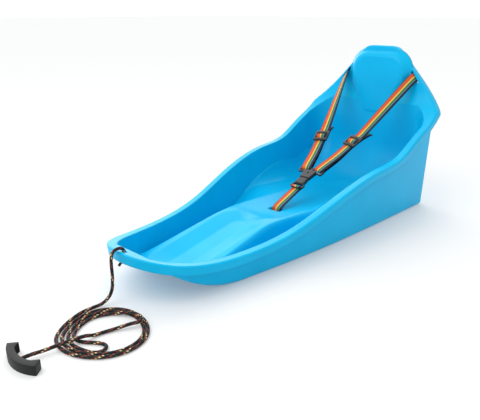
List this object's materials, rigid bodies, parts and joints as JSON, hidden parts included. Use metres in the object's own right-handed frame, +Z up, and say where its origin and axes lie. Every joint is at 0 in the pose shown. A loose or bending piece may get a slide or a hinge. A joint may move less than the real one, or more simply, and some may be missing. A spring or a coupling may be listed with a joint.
{
  "type": "plastic child sled",
  "caption": "Moulded plastic child sled with upswept bow, rim lip, seat tongue, leg wells and headrest, a striped harness with buckle, and a tow rope with a grip.",
  "frame": {"origin": "on the ground under the middle of the hull's length and width", "axes": "+X forward to the bow, +Y to the rider's left, +Z up"},
  "size_m": [1.081, 0.3608, 0.387],
  "materials": {
    "hull_plastic": "satin moulded polyethylene",
    "buckle_plastic": "fine moulded grain",
    "striped_webbing": "woven, striped along its length",
    "tow_rope": "braided with coloured flecks",
    "grip_plastic": "moulded"
  },
  "bodies": {
    "root": {"hull": "hull_plastic", "adjuster_left": "buckle_plastic", "adjuster_right": "buckle_plastic", "buckle_yoke": "buckle_plastic", "buckle_socket": "buckle_plastic", "crotch_stop_bar": "buckle_plastic", "shoulder_strap_left": "striped_webbing", "shoulder_strap_right": "striped_webbing", "strap_loop_left": "striped_webbing", "strap_loop_right": "striped_webbing", "strap_back_run": "striped_webbing", "crotch_strap": "striped_webbing", "tow_rope_hang": "tow_rope", "tow_rope_coil": "tow_rope", "tow_rope_lead": "tow_rope", "tow_rope_knot": "tow_rope", "tow_handle": "grip_plastic"}
  },
  "joints": []
}
